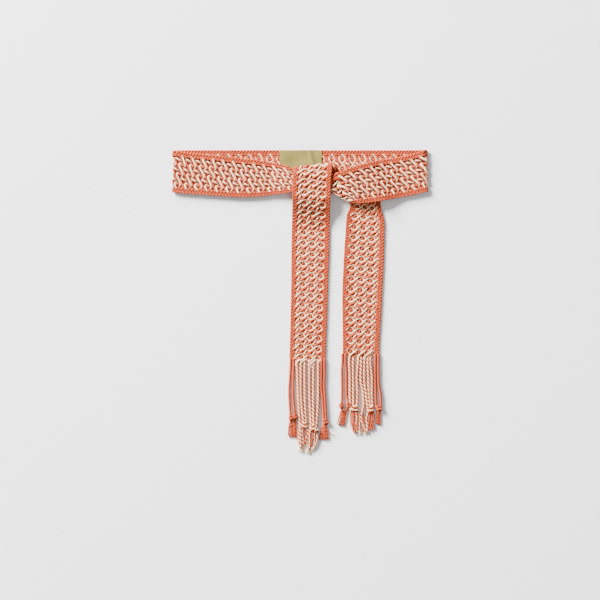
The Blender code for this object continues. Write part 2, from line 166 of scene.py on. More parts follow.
def pchip(places: np.ndarray, values: np.ndarray, wanted: np.ndarray) -> np.ndarray:
    """Smooth values through the given ones, with no overshoot between them.

    Args:
        places: where each row of values stands, rising.
        values: one row for each place.
        wanted: the places to work out.

    Returns:
        One row for each wanted place.
    """
    step = np.diff(places)[:, None]
    slope = np.diff(values, axis=0) / step
    tangent = np.zeros_like(values)
    tangent[0], tangent[-1] = slope[0], slope[-1]
    before, after = slope[:-1], slope[1:]
    same = before * after > 0
    first, second = 2 * step[1:] + step[:-1], step[1:] + 2 * step[:-1]
    safe_before = np.where(same, before, 1.0)
    safe_after = np.where(same, after, 1.0)
    mean = (first + second) / (first / safe_before + second / safe_after)
    tangent[1:-1] = np.where(same, mean, 0.0)
    index = np.clip(np.searchsorted(places, wanted, side="right") - 1, 0, len(places) - 2)
    width = step[index]
    t = ((wanted - places[index])[:, None]) / width
    return (
        (1 + 2 * t) * (1 - t) ** 2 * values[index]
        + t * (1 - t) ** 2 * width * tangent[index]
        + t**2 * (3 - 2 * t) * values[index + 1]
        + t**2 * (t - 1) * width * tangent[index + 1]
    )


def measured(points: np.ndarray) -> np.ndarray:
    """How far along a line each of its points lies."""
    hops = np.linalg.norm(np.diff(points, axis=0), axis=1)
    return np.concatenate([[0.0], np.cumsum(hops)])


def smooth_line(points: np.ndarray, step: float) -> np.ndarray:
    """Points at an even step along a smooth line through the given ones."""
    places = measured(points)
    count = max(3, int(math.ceil(places[-1] / step)))
    return pchip(places, points, np.linspace(0.0, places[-1], count + 1))


def unit(vectors: np.ndarray) -> np.ndarray:
    """Rows brought to length 1."""
    return vectors / np.linalg.norm(vectors, axis=1)[:, None]


def placed(name: str, data: bpy.types.ID) -> bpy.types.Object:
    """A new object in the scene that holds the data."""
    made = bpy.data.objects.new(name, data)
    bpy.context.scene.collection.objects.link(made)
    return made


@dataclass
class ClothPath:
    """The folded band as a row of rulings, and the way from flat cloth on to it."""

    width: float = 0.060
    thickness: float = 0.0026
    layer_gap: float = 0.00035
    label_step: float = 0.0013
    left_reach: float = 0.2306
    right_reach: float = 0.1406
    left_tail: float = 0.190
    right_tail: float = 0.172
    left_fringe: float = 0.1334
    right_fringe: float = 0.1124
    step: float = 0.003
    roll_steps: int = 20
    skew_reach: float = 0.010
    skew_places: int = 4000
    halvings: int = 24

    def __post_init__(self) -> None:
        """Lay the rulings and measure them."""
        rulings = self.band_rulings()
        points = rulings.reshape(-1, 3)
        tips = (rulings[0][0][1] - self.left_fringe, rulings[-1][0][1] - self.right_fringe)
        shift = (-(self.right_reach - self.left_reach) / 2, -(points[:, 1].max() + min(tips)) / 2, 0.0)
        rulings = rulings + np.array(shift)
        self.edge_a, self.edge_b = rulings[:, 0], rulings[:, 1]
        middle = rulings.mean(axis=1)
        self.along = measured(middle)
        self.length = float(self.along[-1])
        tangent = unit(np.gradient(middle, self.along, axis=0))
        across = self.edge_b - self.edge_a
        self.normal = unit(np.cross(across, tangent))
        self.skew = self.evened(np.sum(across * tangent, axis=1))
        log.info("band: %.3f m long", self.length)

    def evened(self, values: np.ndarray) -> np.ndarray:
        """Values averaged over a short length of the band."""
        fine = np.linspace(0.0, self.along[-1], self.skew_places)
        spread = max(1, int(self.skew_reach / (fine[1] - fine[0])))
        kernel = np.hanning(2 * spread + 3)
        padded = np.pad(np.interp(fine, self.along, values), spread + 1, mode="edge")
        return np.interp(self.along, fine, np.convolve(padded, kernel / kernel.sum(), mode="valid"))

    def height(self, layers: float, label: float = 0.0) -> float:
        """Height of the cloth's middle over so many layers, and over the label."""
        return self.thickness / 2 + layers * (self.thickness + self.layer_gap) + label * self.label_step

    def knot_ruling(self, row: KnotRow) -> np.ndarray:
        """The two ends of a ruling near the knot."""
        a = (row.ax * self.width, row.ay * self.width, self.height(row.a_layers, row.label))
        b = (row.bx * self.width, row.by * self.width, self.height(row.b_layers, row.label))
        return np.array([a, b])

    def strap_ruling(self, row: StrapRow, side_x: float, knot_x: float, layers: float) -> np.ndarray:
        """The two ends of a ruling on a strap, side_x being its fold."""
        x = side_x + row.along * (knot_x - side_x)
        z = self.height(layers)
        return np.array([(x, row.top * self.width, z), (x, row.bottom * self.width, z)])

    def tail_ruling(self, row: TailRow, start_y: float, length: float) -> np.ndarray:
        """The two ends of a ruling on a tail that lies on the floor."""
        y = start_y - row.down * length
        z = self.height(0.0)
        return np.array([(row.left * self.width, y, z), (row.right * self.width, y, z)])

    def smooth_stretch(self, rulings: list) -> list:
        """Rulings at an even step through the given ones."""
        given = np.array(rulings).reshape(len(rulings), 6)
        middle = (given[:, :3] + given[:, 3:]) / 2
        lengths = np.linalg.norm(np.diff(middle, axis=0), axis=1)
        places = np.concatenate([[0.0], np.cumsum(lengths)])
        wanted = [0.0]
        for start, length in zip(places, lengths):
            count = max(1, math.ceil(length / self.step))
            wanted.extend(start + length * (k + 1) / count for k in range(count))
        return [row.reshape(2, 3) for row in pchip(places, given, np.array(wanted))]

    def roll(self, a: tuple, b: tuple, before: float, after: float, slant: float, side: np.ndarray) -> list:
        """Rulings that carry the cloth round the fold line a-b to another height."""
        start, stop = np.array(a), np.array(b)
        along = (stop - start) / np.linalg.norm(stop - start)
        outward = np.array([along[1], -along[0]])
        if np.dot(side[:2] - start, outward) > 0:
            outward = -outward
        radius = abs(after - before) / 2
        rulings = []
        for k in range(self.roll_steps + 1):
            turn = math.pi * k / self.roll_steps
            shift = outward * (radius * math.sin(turn) - radius - self.thickness / 2)
            shift = shift - along * slant * (radius + self.thickness / 2) * math.cos(turn)
            z = before + (after - before) * (1 - math.cos(turn)) / 2
            rulings.append(np.array([(*(start + shift), z), (*(stop + shift), z)]))
        return rulings

    def knot_roll(self, row: FoldRow, side: np.ndarray) -> list:
        """The roll at one of the knot's folds."""
        a = (row.ax * self.width, row.ay * self.width)
        b = (row.bx * self.width, row.by * self.width)
        before, after = self.height(row.before, row.label), self.height(row.after, row.label)
        return self.roll(a, b, before, after, row.slant, side)

    def side_roll(self, row: StrapRow, x: float, before: float, after: float) -> list:
        """The roll at one of the loop's two ends."""
        a, b = (x, row.top * self.width), (x, row.bottom * self.width)
        return self.roll(a, b, self.height(before), self.height(after), 0.0, np.array([0.0, 0.0]))

    def band_rulings(self) -> np.ndarray:
        """All rulings of the band, from the left tail's end to the right tail's."""
        left_start = LEFT_TAIL_KNOT[0].ay * self.width
        right_start = RIGHT_TAIL_KNOT[-1].ay * self.width
        right_x = RIGHT_KNOT[-1].ax * self.width
        left_x = LEFT_KNOT[0].ax * self.width
        left_tail = [self.tail_ruling(row, left_start, self.left_tail) for row in LEFT_TAIL_ROWS]
        left_tail += [self.knot_ruling(row) for row in LEFT_TAIL_KNOT]
        top = self.knot_roll(TOP_FOLD, left_tail[-1][0])
        behind = [self.knot_ruling(row) for row in BEHIND_ROWS]
        low = self.knot_roll(LOW_FOLD, behind[-1][1])
        right = [self.knot_ruling(row) for row in RIGHT_KNOT]
        right += [self.strap_ruling(row, self.right_reach, right_x, 1.0) for row in RIGHT_STRAP]
        right_side = self.side_roll(RIGHT_FOLD, self.right_reach, 1.0, 0.0)
        back = [self.strap_ruling(row, self.right_reach, -self.left_reach, 0.0) for row in BACK_STRAP]
        left_side = self.side_roll(LEFT_FOLD, -self.left_reach, 0.0, 1.0)
        left = [self.strap_ruling(row, -self.left_reach, left_x, 1.0) for row in LEFT_STRAP]
        left += [self.knot_ruling(row) for row in LEFT_KNOT]
        turn = self.knot_roll(TURN_FOLD, left[-1][0])
        right_tail = [self.knot_ruling(row) for row in RIGHT_TAIL_KNOT]
        right_tail += [self.tail_ruling(row, right_start, self.right_tail) for row in RIGHT_TAIL_ROWS]
        rolls = [top, low, right_side, left_side, turn]
        stretches = [left_tail, behind, right, back, left, right_tail]
        rulings = []
        for index, stretch in enumerate(stretches):
            before = [rolls[index - 1][-1]] if index else []
            after = [rolls[index][0]] if index < len(rolls) else []
            rulings += self.smooth_stretch(before + stretch + after)
            if index < len(rolls):
                rulings += rolls[index][1:-1]
        return np.array(rulings)

    def station(self, u: np.ndarray, share: np.ndarray) -> np.ndarray:
        """Where along the middle line the ruling through a place on the cloth lies."""
        low = np.full_like(u, 0.0)
        high = np.full_like(u, self.length)
        for _ in range(self.halvings):
            guess = (low + high) / 2
            short = guess + (share - 0.5) * np.interp(guess, self.along, self.skew) < u
            low = np.where(short, guess, low)
            high = np.where(short, high, guess)
        return (low + high) / 2

    def along_rulings(self, s: np.ndarray, rows: np.ndarray) -> np.ndarray:
        """The rulings' rows of x, y and z at places along the middle line."""
        return np.stack([np.interp(s, self.along, rows[:, k]) for k in range(3)], axis=1)

    def carry(self, flat: np.ndarray) -> np.ndarray:
        """Points of the folded band for points of the flat cloth.

        Args:
            flat: rows of v, u and t in metres.

        Returns:
            Rows of x, y and z.
        """
        share = flat[:, 0] / self.width
        reach = np.clip(flat[:, 1], 0.0, self.length)
        s = self.station(reach, share)
        a = self.along_rulings(s, self.edge_a)
        b = self.along_rulings(s, self.edge_b)
        n = unit(self.along_rulings(s, self.normal))
        beyond = (flat[:, 1] - reach)[:, None]
        ends = np.where(beyond < 0, self.way(0.0), self.way(self.length))
        return a + (b - a) * share[:, None] + n * flat[:, 2:3] + ends * beyond

    def way(self, u: float) -> np.ndarray:
        """The band's direction at a place along it."""
        middle = (self.edge_a + self.edge_b) / 2
        index = 1 if u < self.length / 2 else len(middle) - 1
        step = middle[index] - middle[index - 1]
        return step / np.linalg.norm(step)


@dataclass
class Run:
    """One length of yarn: its points, its radius and how light it is."""

    points: np.ndarray
    radius: float | np.ndarray
    shade: float = 0.5


class Socket:
    """A shader value, so that maths on it adds its Math nodes."""

    def __init__(self, graph: "Graph", socket: bpy.types.NodeSocket) -> None:
        """Wrap a socket of the graph."""
        self.graph = graph
        self.socket = socket

    def _math(self, operation: str, *values: object) -> "Socket":
        """One Math node over values and sockets."""
        return self.graph.node("ShaderNodeMath", {"operation": operation}, dict(enumerate(values)))

    def __add__(self, other: object) -> "Socket":
        """Sum."""
        return self._math("ADD", self, other)

    def __sub__(self, other: object) -> "Socket":
        """Difference."""
        return self._math("SUBTRACT", self, other)

    def __mul__(self, other: object) -> "Socket":
        """Product."""
        return self._math("MULTIPLY", self, other)

    def wave(self) -> "Socket":
        """A sine of the value, from 0 to 1, once in each whole number."""
        return self._math("SINE", self * (2 * math.pi)) * 0.5 + 0.5

    def clamped(self) -> "Socket":
        """The value kept between 0 and 1."""
        return self.graph.node("ShaderNodeClamp", {}, {"Value": self})


class Graph:
    """A material's nodes."""

    def __init__(self, name: str) -> None:
        """An empty material with a principled shader."""
        self.material = bpy.data.materials.new(name)
        self.material.use_nodes = True
        self.tree = self.material.node_tree
        self.shader = self.tree.nodes["Principled BSDF"]

    def node(self, kind: str, settings: dict, inputs: dict, output: int | str = 0) -> Socket:
        """Add a node.

        Args:
            kind: the node's type.
            settings: its own settings, set first.
            inputs: values or links by socket name or number.
            output: the socket to return.

        Returns:
            The wanted output.
        """
        made = self.tree.nodes.new(kind)
        for name, value in settings.items():
            setattr(made, name, value)
        for key, value in inputs.items():
            if isinstance(value, Socket):
                self.tree.links.new(value.socket, made.inputs[key])
            else:
                made.inputs[key].default_value = value
        return Socket(self, made.outputs[output])

    def parts(self, vector: Socket) -> tuple:
        """The three numbers of a vector."""
        made = self.tree.nodes.new("ShaderNodeSeparateXYZ")
        self.tree.links.new(vector.socket, made.inputs[0])
        return tuple(Socket(self, made.outputs[k]) for k in range(3))

    def places(self) -> Socket:
        """Object coordinates."""
        return self.node("ShaderNodeTexCoord", {}, {}, "Object")

    def noise(self, vector: Socket, scale: float, detail: float = 2.0, roughness: float = 0.5) -> Socket:
        """Noise from 0 to 1 at a scale."""
        inputs = {"Vector": vector, "Scale": scale, "Detail": detail, "Roughness": roughness}
        return self.node("ShaderNodeTexNoise", {}, inputs, "Fac")

    def blend(self, amount: object, first: object, second: object) -> Socket:
        """One colour turning into another."""
        made = self.tree.nodes.new("ShaderNodeMix")
        made.data_type = "RGBA"
        for index, value in ((0, amount), (6, first), (7, second)):
            if isinstance(value, Socket):
                self.tree.links.new(value.socket, made.inputs[index])
            elif index == 0:
                made.inputs[index].default_value = value
            else:
                made.inputs[index].default_value = (*value, 1.0)
        return Socket(self, made.outputs[2])

    def feed(self, name: str, value: object) -> None:
        """Set or link a socket of the shader."""
        if isinstance(value, Socket):
            self.tree.links.new(value.socket, self.shader.inputs[name])
        else:
            self.shader.inputs[name].default_value = value

    def bump(self, height: Socket, strength: float, distance: float) -> None:
        """Raise the surface by a height that varies over it."""
        inputs = {"Strength": strength, "Distance": distance, "Height": height}
        self.feed("Normal", self.node("ShaderNodeBump", {}, inputs, "Normal"))


@dataclass(frozen=True)
class YarnFinish:
    """Matte spun cotton: plies that wind round the yarn, with painted shade in the grooves between them,
    and loose fibres.
    """

    name: str
    colour: tuple
    deep: tuple
    plies: int = 3
    pitch: float = 0.006
    fibre_scale: float = 2600.0
    cloud_scale: float = 160.0
    bump_strength: float = 0.55
    bump_distance: float = 0.0004

    def material(self) -> bpy.types.Material:
        """Build the finish."""
        graph = Graph(self.name)
        places = graph.places()
        uv = graph.node("ShaderNodeUVMap", {"uv_map": "UVMap"}, {}, "UV")
        along, around, _ = graph.parts(uv)
        shade = graph.node("ShaderNodeAttribute", {"attribute_name": "shade"}, {}, "Fac")
        groove = (around * self.plies - along * (1 / self.pitch)).wave()
        fibres = graph.noise(places, self.fibre_scale, 3.0, 0.65)
        clouds = graph.noise(places, self.cloud_scale)
        # The groove between the plies also darkens the colour: painted shade in the grooves.
        light = (shade * 0.4 + clouds * 0.4 + groove * 0.5 + fibres * 0.35 - 0.32).clamped()
        graph.feed("Base Color", graph.blend(light, self.deep, self.colour))
        graph.feed("Roughness", (fibres * 0.15 + 0.8).clamped())
        graph.feed("Specular IOR Level", 0.15)
        graph.feed("Sheen Weight", 0.06)
        graph.feed("Sheen Roughness", 0.5)
        graph.bump(groove * 0.7 + fibres * 0.5, self.bump_strength, self.bump_distance)
        return graph.material


@dataclass(frozen=True)
class SatinFinish:
    """Olive gold satin with a fine weft, and soft streaks of painted sheen in its colour."""

    name: str = "label_satin"
    colour: tuple = (0.25, 0.205, 0.032)
    deep: tuple = (0.14, 0.110, 0.018)
    streak_scale: tuple = (9.0, 420.0, 1.0)
    shot_scale: tuple = (260.0, 22.0, 1.0)
    weft_step: float = 0.00055
    warp_step: float = 0.0005
    bump_strength: float = 0.35
    bump_distance: float = 0.00012

    def material(self) -> bpy.types.Material:
        """Build the finish."""
        graph = Graph(self.name)
        places = graph.places()
        stretched = graph.node("ShaderNodeMapping", {}, {"Vector": places, "Scale": self.streak_scale})
        upright = graph.node("ShaderNodeMapping", {}, {"Vector": places, "Scale": self.shot_scale})
        streaks = graph.noise(stretched, 3.0, 3.0, 0.6)
        shots = graph.noise(upright, 1.0)
        x, y, _ = graph.parts(places)
        weft = (y * (1 / self.weft_step)).wave()
        warp = (x * (1 / self.warp_step)).wave()
        # The streaks and shots lighten and darken the colour in bands: painted sheen.
        light = (streaks * 0.9 + shots * 0.8 + weft * 0.12 - 0.5).clamped()
        graph.feed("Base Color", graph.blend(light, self.deep, self.colour))
        graph.feed("Roughness", (streaks * 0.2 + 0.36).clamped())
        graph.feed("Specular IOR Level", 0.55)
        graph.feed("Sheen Weight", 0.2)
        graph.bump(weft * 0.6 + warp * 0.25 + shots * 0.4, self.bump_strength, self.bump_distance)
        return graph.material


@dataclass(frozen=True)
class FloorFinish:
    """Smooth pale card."""

    name: str = "pale_floor"
    colour: tuple = (0.93, 0.93, 0.93)
    lighter: tuple = (0.94, 0.94, 0.94)
    grain_scale: float = 40.0

    def material(self) -> bpy.types.Material:
        """Build the finish."""
        graph = Graph(self.name)
        fine = graph.noise(graph.places(), self.grain_scale)
        graph.feed("Base Color", graph.blend(fine, self.colour, self.lighter))
        graph.feed("Roughness", 0.9)
        graph.feed("Specular IOR Level", 0.2)
        return graph.material


class Yarn(Enum):
    """The belt's yarns."""

    CREAM = "cream"
    CORAL = "coral"
    SHADED_GROUND = "ground"
    BRAID = "braid"


FINISHES = {
    Yarn.CREAM: YarnFinish("cream_yarn", (0.96, 0.75, 0.46), (0.62, 0.36, 0.20), 2, 0.0055),
    Yarn.CORAL: YarnFinish("coral_yarn", (0.54, 0.078, 0.024), (0.32, 0.036, 0.011)),
    # The ground yarn is a darker copy of the coral yarn, with a near black deep end: painted shade in the
    # holes between the rows.
    Yarn.SHADED_GROUND: YarnFinish("coral_ground_painted_shade", (0.42, 0.052, 0.016), (0.11, 0.008, 0.003)),
    Yarn.BRAID: YarnFinish("coral_plait_yarn", (0.52, 0.080, 0.023), (0.28, 0.031, 0.009), 2, 0.005),
}


class Spinner:
    """Turns lengths of yarn into tubes, by way of a bevelled curve."""

    bevel = 0.001
    weld_distance = 1e-7

    def __init__(self) -> None:
        """A spinner that has made no finish yet."""
        self.finishes: dict = {}

    def finish(self, yarn: Yarn) -> bpy.types.Material:
        """A yarn's material, made once."""
        if yarn not in self.finishes:
            self.finishes[yarn] = FINISHES[yarn].material()
        return self.finishes[yarn]

    def tubes(self, name: str, groups: dict, sides: int, path: object = None) -> bpy.types.Object:
        """One piece of many tubes.

        Args:
            name: the piece's name.
            groups: runs by their yarn.
            sides: how many sides each tube has, an even number.
            path: if given, the runs are on flat cloth and its carry takes them to their place.

        Returns:
            The piece, at the origin.
        """
        curve = bpy.data.curves.new(name, "CURVE")
        curve.dimensions = "3D"
        curve.bevel_depth = self.bevel
        curve.bevel_resolution = sides // 2 - 2
        curve.use_fill_caps = True
        for yarn in groups:
            curve.materials.append(self.finish(yarn))
        runs = [(run, index) for index, yarn in enumerate(groups) for run in groups[yarn]]
        for run, index in runs:
            spline = curve.splines.new("POLY")
            spline.points.add(len(run.points) - 1)
            spline.points.foreach_set("co", np.column_stack([run.points, np.ones(len(run.points))]).ravel())
            radius = np.broadcast_to(np.asarray(run.radius, float) / self.bevel, len(run.points))
            spline.points.foreach_set("radius", np.array(radius))
            spline.material_index = index
            spline.use_smooth = True
        holder = placed(name, curve)
        depsgraph = bpy.context.evaluated_depsgraph_get()
        mesh = bpy.data.meshes.new_from_object(holder.evaluated_get(depsgraph))
        bpy.data.objects.remove(holder)
        mesh.name = name
        self.mark(mesh, [run for run, _ in runs], sides)
        if path is not None:
            points = np.zeros(len(mesh.vertices) * 3)
            mesh.vertices.foreach_get("co", points)
            mesh.vertices.foreach_set("co", path.carry(points.reshape(-1, 3)).ravel())
        self.weld(mesh)
        return placed(name, mesh)

    def mark(self, mesh: bpy.types.Mesh, runs: list, sides: int) -> None:
        """Give the tubes their shade, and their length along them as the first UV number.

        The mesh holds the end caps' rings first, from the last run to the first, and then every
        run's own rings in order.
        """
        along, shade = [], []
        for run in runs:
            places = measured(run.points)
            along.append(np.repeat(places, sides))
            shade.append(np.full(len(places) * sides, run.shade))
        ends, end_shade = [], []
        for places, tone in zip(reversed(along), reversed(shade)):
            ends += [np.full(sides, places[-1]), np.full(sides, places[0])]
            end_shade += [tone[:sides], tone[:sides]]
        along, shade = np.concatenate(ends + along), np.concatenate(end_shade + shade)
        layer = mesh.attributes.new("shade", "FLOAT", "POINT")
        layer.data.foreach_set("value", shade.astype(np.float32))
        corners = np.zeros(len(mesh.loops), np.int32)
        mesh.loops.foreach_get("vertex_index", corners)
        uv = np.zeros(len(mesh.loops) * 2)
        mesh.uv_layers["UVMap"].data.foreach_get("uv", uv)
        uv = uv.reshape(-1, 2)
        uv[:, 0] = along[corners]
        mesh.uv_layers["UVMap"].data.foreach_set("uv", uv.ravel())

    def weld(self, mesh: bpy.types.Mesh) -> None:
        """Join the end caps to their tubes."""
        bm = bmesh.new()
        bm.from_mesh(mesh)
        bmesh.ops.remove_doubles(bm, verts=bm.verts[:], dist=self.weld_distance)
        bm.to_mesh(mesh)
        bm.free()


def dress(piece: bpy.types.Object, slot: str, *nodes: str) -> None:
    """Fix a piece to the belt, standing for nodes of the frame."""
    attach(piece, "root")
    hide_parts(*nodes)
    triangles = sum(len(face.vertices) - 2 for face in piece.data.polygons)
    log.info("%s: %d triangles", piece.name, triangles)


@dataclass(frozen=True)
class Stretch:
    """A length of the band that shows one face.

    start and stop are along the middle line, first is the first row's place from the lower of the
    two as seen, ring_column the middle of the last column of rings, slope the rows' lean, and inner
    tells whether the inner face shows. The pull is 1 where the cloth is stretched and 0 where it is
    slack, and it goes over from pull to far_pull over change_length, round the place change.
    """

    start: float
    stop: float
    first: float
    ring_column: float
    slope: float
    inner: bool
    pull: float
    far_pull: float
    change: float = 0.0
    change_length: float = 0.030

    def pull_at(self, y: np.ndarray | float) -> np.ndarray | float:
        """How far the cloth is stretched at a place."""
        share = np.clip((y - self.change) / self.change_length + 0.5, 0.0, 1.0)
        return self.pull + share * (self.far_pull - self.pull)


@dataclass(frozen=True)
class Twine:
    """How the rows and warps of one colour are made.

    ring is half a slack ring's height, swell how much the rows' yarn thickens where the cloth is
    pulled, stand the rows' height above the cloth's middle, offset how far the rows and rings are
    moved in shares of a cell, and lean how far the warps swing.
    """

    ring: float
    radius: float
    swell: float
    stand: float
    offset: float
    lean: float


CREAM_TWINE = Twine(0.0043, 0.00112, 0.25, 0.0003, 0.0, 0.0021)
CORAL_TWINE = Twine(0.0036, 0.00175, -0.30, 0.0002, 0.5, 0.0008)


@dataclass
class FlatCloth:
    """The cloth path with every strand pressed flatter through the cloth's thickness."""

    path: ClothPath
    flatness: float

    def carry(self, flat: np.ndarray) -> np.ndarray:
        """Press, then carry on to the folded band."""
        pressed = flat.copy()
        pressed[:, 2] *= self.flatness
        return self.path.carry(pressed)


@dataclass
class Openwork:
    """The band's middle: cream and coral pairs twined across it round long warps."""

    path: ClothPath
    spinner: Spinner
    cell_along: float = 0.0150
    cell_across: float = 0.0140
    columns: int = 3
    first_v: float = 0.0060
    middle_v: float = 0.0333
    last_v: float = 0.0545
    drawn_ring: float = 0.0052
    lift: float = 0.0006
    sink: float = 0.00035
    drawn_sink: float = 0.0011
    arc: float = 0.34
    ring_lean: float = 0.15
    row_step: float = 0.0010
    wobble: float = 0.0003
    wobble_places: int = 7
    warp_step: float = 0.0011
    warp_sway: float = 0.0002
    beyond: float = 0.0204
    cut_gap: float = 0.0003
    ground_step: float = 0.0021
    ground_radius: float = 0.00115
    ground_margins: tuple = (0.0012, 0.0016)
    ground_hop: float = 0.0028
    flatness: float = 0.5
    seed: int = 11

    def stretches(self) -> list:
        """The band's stretches, from the left tail to the right one."""
        return [
            Stretch(0.0, 0.292, 0.0045, 0.0473, -0.105, False, 0.0, 0.45, 0.200),
            Stretch(0.292, 0.344, 0.004, 0.0410, 0.0, True, 0.0, 0.0),
            Stretch(0.344, 0.4885, 0.004, 0.0473, -0.13, False, 1.0, 1.0),
            Stretch(0.4885, 0.8555, 0.004, 0.0410, 0.05, True, 0.0, 0.0),
            Stretch(0.8555, 1.151, 0.000, 0.0473, -0.15, False, 1.0, 1.0),
            Stretch(1.151, self.path.length, 0.0060, 0.0410, -0.07, True, 0.0, 0.0),
        ]

    def limit(self, s: float, v: np.ndarray | float) -> np.ndarray | float:
        """The place along the cloth where the ruling at s crosses v."""
        slant = float(np.interp(s, self.path.along, self.path.skew))
        return s + (v / self.path.width - 0.5) * slant

    def cut(self, stretch: Stretch, points: np.ndarray, shade: float) -> list:
        """A strand of a stretch's shown face as a run on flat cloth, cut at the stretch's limits.

        Args:
            stretch: the stretch.
            points: rows of the place across, the place along from the stretch's lower end as seen,
                the height above the middle towards the eye, and the radius.
            shade: how light the strand is.

        Returns:
            The run in a list, or no run where nothing is left. Its heights are drawn out, so that
            the round yarn ends up flattened.
        """
        v, y, t, radius = points.T
        u = stretch.stop - y if stretch.inner else stretch.start + y
        t = (-t if stretch.inner else t) / self.flatness
        inside = u > self.limit(stretch.start, v) + self.cut_gap
        inside &= u < self.limit(stretch.stop, v) - self.cut_gap
        if inside.sum() < 4:
            return []
        return [Run(np.column_stack([v, u, t])[inside], radius[inside], shade)]

    def pair(
        self, stretch: Stretch, centre: float, column: float, twine: Twine, rng: np.random.Generator
    ) -> list:
        """Two strands that twine round each other across one row.

        Args:
            stretch: where the row lies.
            centre: the row's place along the stretch.
            column: the middle of one of the row's rings.
            twine: the row's colour.
            rng: for small unevenness.

        Returns:
            The two runs, on flat cloth.
        """
        pull = float(stretch.pull_at(centre))
        reach = twine.ring + pull * (self.drawn_ring - twine.ring)
        radius = twine.radius * (1 + twine.swell * pull)
        v = np.arange(self.first_v, self.last_v, self.row_step)
        knots = np.linspace(v[0], v[-1], self.wobble_places)
        wobble = np.interp(v, knots, rng.normal(0.0, self.wobble, self.wobble_places))
        base = centre + stretch.slope * (v - self.middle_v) + wobble
        runs = []
        for start in (0, 1):
            turn = (v - column) / self.cell_across + start
            cell = np.floor(turn)
            part = turn - cell
            below = np.mod(cell, 2) == 0
            straight = 1.0 - 2.0 * part
            left_arc = np.sqrt(np.clip(1.0 - (part / self.arc) ** 2, 0.0, 1.0))
            right_arc = np.sqrt(np.clip(1.0 - ((1.0 - part) / self.arc) ** 2, 0.0, 1.0))
            falling = (1 - pull) * (left_arc - right_arc + self.ring_lean * straight) + pull * straight
            rising = -(1 - pull) * np.cos(np.pi * part) - pull * straight
            size = reach * (1 + rng.normal(0.0, 0.06))
            y = base + size * np.where(below, falling, rising)
            dip = np.sin(np.pi * part)
            depth = -(self.sink + self.drawn_sink * pull) * dip ** (1.0 - 0.5 * pull)
            height = self.lift * dip ** (1.0 - 0.5 * pull)
            t = twine.stand + np.where(below, depth, height)
            thin = 1.0 - 0.5 * pull * np.where(below, dip, 0.0)
            points = np.column_stack([v, y, t, radius * (1 + rng.normal(0.0, 0.04)) * thin])
            runs += self.cut(stretch, points, float(rng.uniform(0.25, 0.75)))
        return runs

    def rows(self, stretch: Stretch, twine: Twine, rng: np.random.Generator) -> list:
        """All rows of one colour on a stretch."""
        runs = []
        column = stretch.ring_column - twine.offset * self.cell_across
        length = stretch.stop - stretch.start
        centre = stretch.first + twine.offset * self.cell_along - 2 * self.cell_along
        while centre < length + 2 * self.cell_along:
            runs += self.pair(stretch, centre, column, twine, rng)
            centre += self.cell_along
        return runs

    def swayed(self, y: np.ndarray, every: int, rng: np.random.Generator) -> np.ndarray:
        """Small sideways shifts of a warp, drawn at every so many of its places."""
        drawn = y[::every]
        return np.interp(y, drawn, rng.normal(0.0, self.warp_sway, len(drawn)))

    def warp(self, stretch: Stretch, column: float, twine: Twine, rng: np.random.Generator) -> list:
        """A long strand that the rows twine round, leaning one way where it shows."""
        y = np.arange(-self.beyond, stretch.stop - stretch.start + self.beyond, self.warp_step)
        middle = stretch.first + stretch.slope * (column - self.middle_v)
        shift = (0.5 - twine.offset) * self.cell_along
        turn = 2 * math.pi * (y - middle - shift) / self.cell_along
        pull = stretch.pull_at(y)
        v = column + twine.lean * (1.0 - 0.3 * pull) * np.sin(turn)
        v = v + self.swayed(y, 30, rng)
        high = 0.5 + 0.5 * np.cos(turn)
        if twine is CREAM_TWINE:
            t = -0.0012 + 0.0021 * high ** (1.1 + 0.5 * pull)
            radius = 0.0004 + 0.0008 * high**0.7
        else:
            t = -0.0006 + 0.0003 * high - 0.0002 * pull
            radius = 0.0010 + 0.0010 * high
        return self.cut(stretch, np.column_stack([v, y, t, radius]), float(rng.uniform(0.3, 0.7)))

    def ground(self, stretch: Stretch, rng: np.random.Generator) -> list:
        """Coral warps laid side by side, deep in the cloth, that close it between the rows, coloured with
        painted shade.
        """
        y = np.arange(-self.beyond, stretch.stop - stretch.start + self.beyond, self.ground_hop)
        before, after = self.ground_margins
        runs = []
        for v in np.arange(self.first_v - before, self.last_v + after, self.ground_step):
            across = v + self.swayed(y, 6, rng)
            t = -0.0002 - 0.0007 * stretch.pull_at(y)
            points = np.column_stack([across, y, t, np.full(len(y), self.ground_radius)])
            # The ground's random shade is kept low, and lower still where the cloth is pulled: painted
            # shade in the holes between the rows.
            runs += self.cut(stretch, points, float(rng.uniform(0.1, 0.6)) * (1 - 0.8 * stretch.pull))
        return runs

    def build(self) -> None:
        """Make and dress the middle's pieces."""
        rng = np.random.default_rng(self.seed)
        cream, coral, ground, warps = [], [], [], {Yarn.CREAM: [], Yarn.CORAL: []}
        for stretch in self.stretches():
            ground += self.ground(stretch, rng)
            cream += self.rows(stretch, CREAM_TWINE, rng)
            coral += self.rows(stretch, CORAL_TWINE, rng)
            for k in range(self.columns):
                ring = stretch.ring_column - k * self.cell_across
                link = ring + (0.5 if stretch.inner else -0.5) * self.cell_across
                warps[Yarn.CORAL] += self.warp(stretch, ring, CORAL_TWINE, rng)
                warps[Yarn.CREAM] += self.warp(stretch, link, CREAM_TWINE, rng)
        pieces = (
            ("openwork_cream_rows", {Yarn.CREAM: cream}, 8),
            ("openwork_coral_rows", {Yarn.CORAL: coral}, 8),
            ("openwork_warps", warps, 6),
            ("openwork_ground_warps", {Yarn.SHADED_GROUND: ground}, 6),
        )
        flat = FlatCloth(self.path, self.flatness)
        for name, groups, sides in pieces:
            dress(self.spinner.tubes(name, groups, sides, flat), "openwork_cloth", "band_centre")


